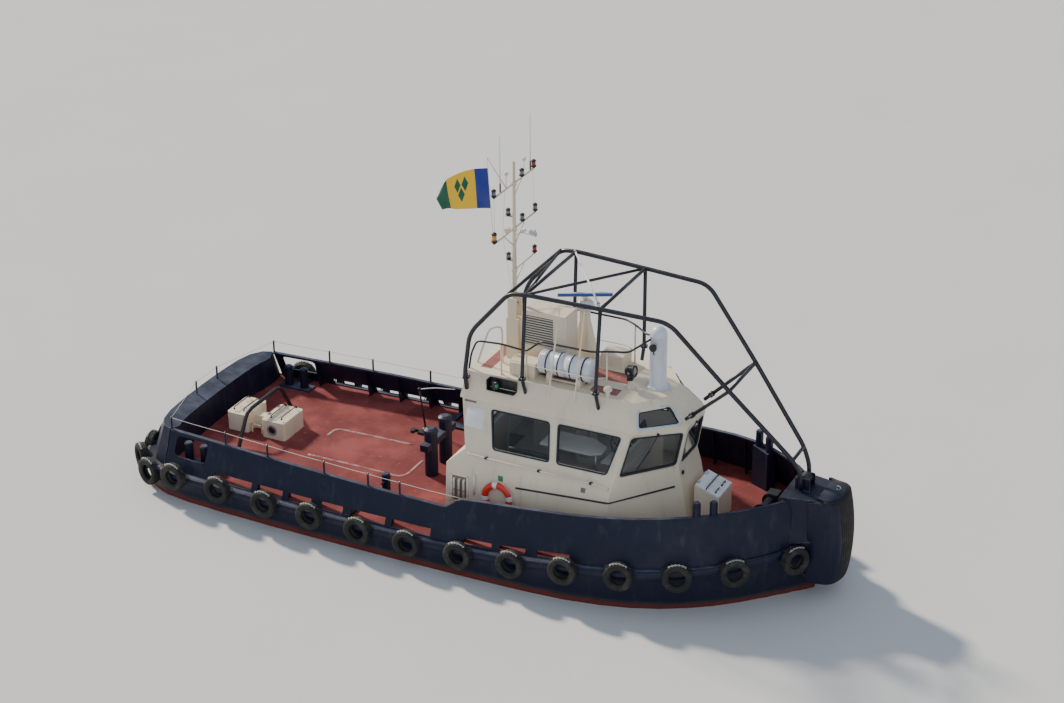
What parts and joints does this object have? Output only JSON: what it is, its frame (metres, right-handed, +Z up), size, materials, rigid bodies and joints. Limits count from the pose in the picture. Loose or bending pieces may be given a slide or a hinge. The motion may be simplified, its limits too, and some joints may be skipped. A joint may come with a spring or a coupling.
{
  "type": "harbour tugboat",
  "caption": "Twin-screw steel harbour tug afloat, with its whole hull, tyre fenders, glazed deckhouse, tube cage over the roof, towing gear, mast and flag.",
  "frame": {"origin": "on the centreline at amidships, on the plane of the waterline", "axes": "+X forward towards the bow, +Y to port, +Z up"},
  "size_m": [16.6591, 6.2612, 11.49],
  "materials": {
    "hull_paint": "navy blue marine enamel with a red deck and red antifouling, scuffed along its edges",
    "fender_rubber": "black rubber, dulled and rubbed",
    "underwater_steel": "matt dark red antifouling",
    "bronze": "cast propeller bronze",
    "house_paint": "cream gloss enamel, weathered",
    "lamp_box": "matt black screen with a coloured lens",
    "cabin_lining": "plain cabin lining and console",
    "window_glass": "tinted safety glass",
    "radome_plastic": "white glass fibre",
    "cage_paint": "near-black navy enamel, rubbed",
    "deck_gear": "black enamel, worn by ropes",
    "buoy_plastic": "orange plastic with white bands",
    "flag_cloth": "light woven bunting"
  },
  "bodies": {
    "boat": {"hull": "hull_paint", "bulwark_stern": "hull_paint", "belting_stern": "fender_rubber", "bow_fender": "fender_rubber", "bow_housing": "hull_paint", "bulwark_aft_port": "hull_paint", "bulwark_fore_port": "hull_paint", "belting_port": "fender_rubber", "nozzle_port": "underwater_steel", "bulwark_aft_starboard": "hull_paint", "bulwark_fore_starboard": "hull_paint", "belting_starboard": "fender_rubber", "nozzle_starboard": "underwater_steel", "house_side_port": "house_paint", "house_quarter_port": "house_paint", "sidelight_port": "lamp_box", "roof_rail_port": "house_paint", "house_side_starboard": "house_paint", "house_quarter_starboard": "house_paint", "sidelight_starboard": "lamp_box", "roof_rail_starboard": "house_paint", "house_front": "house_paint", "house_aft": "house_paint", "house_floor": "cabin_lining", "house_roof": "house_paint", "glass_side_port": "window_glass", "glass_side_starboard": "window_glass", "glass_screen": "window_glass", "glass_aft": "window_glass", "glass_skylight": "window_glass", "vent_casing": "house_paint", "mast_tabernacle": "house_paint", "radar_pedestal": "house_paint", "vent_post": "house_paint", "life_raft": "radome_plastic", "cage_port": "cage_paint", "cage_starboard": "cage_paint", "hatch_aft": "house_paint", "tow_arch": "deck_gear", "tow_bitt": "hull_paint", "windlass": "deck_gear", "hatch_fore": "house_paint", "lifebuoy": "buoy_plastic"},
    "screw_port": {"propeller_port": "bronze"},
    "screw_starboard": {"propeller_starboard": "bronze"},
    "steering_port": {"rudder_port": "underwater_steel"},
    "steering_starboard": {"rudder_starboard": "underwater_steel"},
    "radar": {"radar_scanner": "radome_plastic"},
    "lamp": {"searchlight": "deck_gear"},
    "hook": {"tow_hook": "deck_gear"},
    "door": {"house_door": "house_paint"},
    "fore_lid": {"hatch_fore_lid": "house_paint"},
    "aft_lid_aft": {"hatch_aft_lid_aft": "house_paint"},
    "aft_lid_fore": {"hatch_aft_lid_fore": "house_paint"},
    "drum": {"windlass_drum": "deck_gear"},
    "roller": {"bow_roller": "deck_gear"},
    "mast": {"mast": "house_paint", "flag": "flag_cloth"}
  },
  "joints": [
    {"name": "screw_port_spin", "type": "hinge", "parent": "boat", "child": "screw_port", "pos_m": [-6.56, 1.25, -1.29], "axis": [1, 0, 0], "continuous": true},
    {"name": "screw_starboard_spin", "type": "hinge", "parent": "boat", "child": "screw_starboard", "pos_m": [-6.56, -1.25, -1.29], "axis": [1, 0, 0], "continuous": true},
    {"name": "rudder_port_turn", "type": "hinge", "parent": "boat", "child": "steering_port", "pos_m": [-7.26, 1.25, -1.2], "axis": [0, 0, 1], "range_deg": [-35, 35]},
    {"name": "rudder_starboard_turn", "type": "hinge", "parent": "boat", "child": "steering_starboard", "pos_m": [-7.26, -1.25, -1.2], "axis": [0, 0, 1], "range_deg": [-35, 35]},
    {"name": "radar_spin", "type": "hinge", "parent": "boat", "child": "radar", "pos_m": [1.89, 0.62, 5.5], "axis": [0, 0, 1], "continuous": true},
    {"name": "searchlight_pan", "type": "hinge", "parent": "boat", "child": "lamp", "pos_m": [3.41, -0.33, 4.3], "axis": [0, 0, 1], "range_deg": [-170, 170]},
    {"name": "tow_hook_swing", "type": "hinge", "parent": "boat", "child": "hook", "pos_m": [-1.65, 0, 1.56], "axis": [0, 0, 1], "range_deg": [-60, 60]},
    {"name": "door_open", "type": "hinge", "parent": "boat", "child": "door", "pos_m": [-0.3, 1.05, 1.875], "axis": [0, 0, -1], "range_deg": [0, 100]},
    {"name": "fore_lid_open", "type": "hinge", "parent": "boat", "child": "fore_lid", "pos_m": [4.95, 0, 2.05], "axis": [0, -1, 0], "range_deg": [0, 100]},
    {"name": "aft_lid_aft_open", "type": "hinge", "parent": "boat", "child": "aft_lid_aft", "pos_m": [-6.83, 0, 1.16], "axis": [0, -1, 0], "range_deg": [0, 100]},
    {"name": "aft_lid_fore_open", "type": "hinge", "parent": "boat", "child": "aft_lid_fore", "pos_m": [-5.26, 0, 1.16], "axis": [0, 1, 0], "range_deg": [0, 100]},
    {"name": "windlass_spin", "type": "hinge", "parent": "boat", "child": "drum", "pos_m": [6.43, 0, 1.68], "axis": [0, 1, 0], "continuous": true},
    {"name": "bow_roller_spin", "type": "hinge", "parent": "boat", "child": "roller", "pos_m": [7.28, 0, 2.545], "axis": [0, 1, 0], "continuous": true},
    {"name": "mast_lower", "type": "hinge", "parent": "boat", "child": "mast", "pos_m": [0.51, 0, 5.23], "axis": [0, -1, 0], "range_deg": [0, 85]}
  ],
  "couplings": [
    {"joint": "rudder_starboard_turn", "follows": "rudder_port_turn", "ratio": 1}
  ]
}
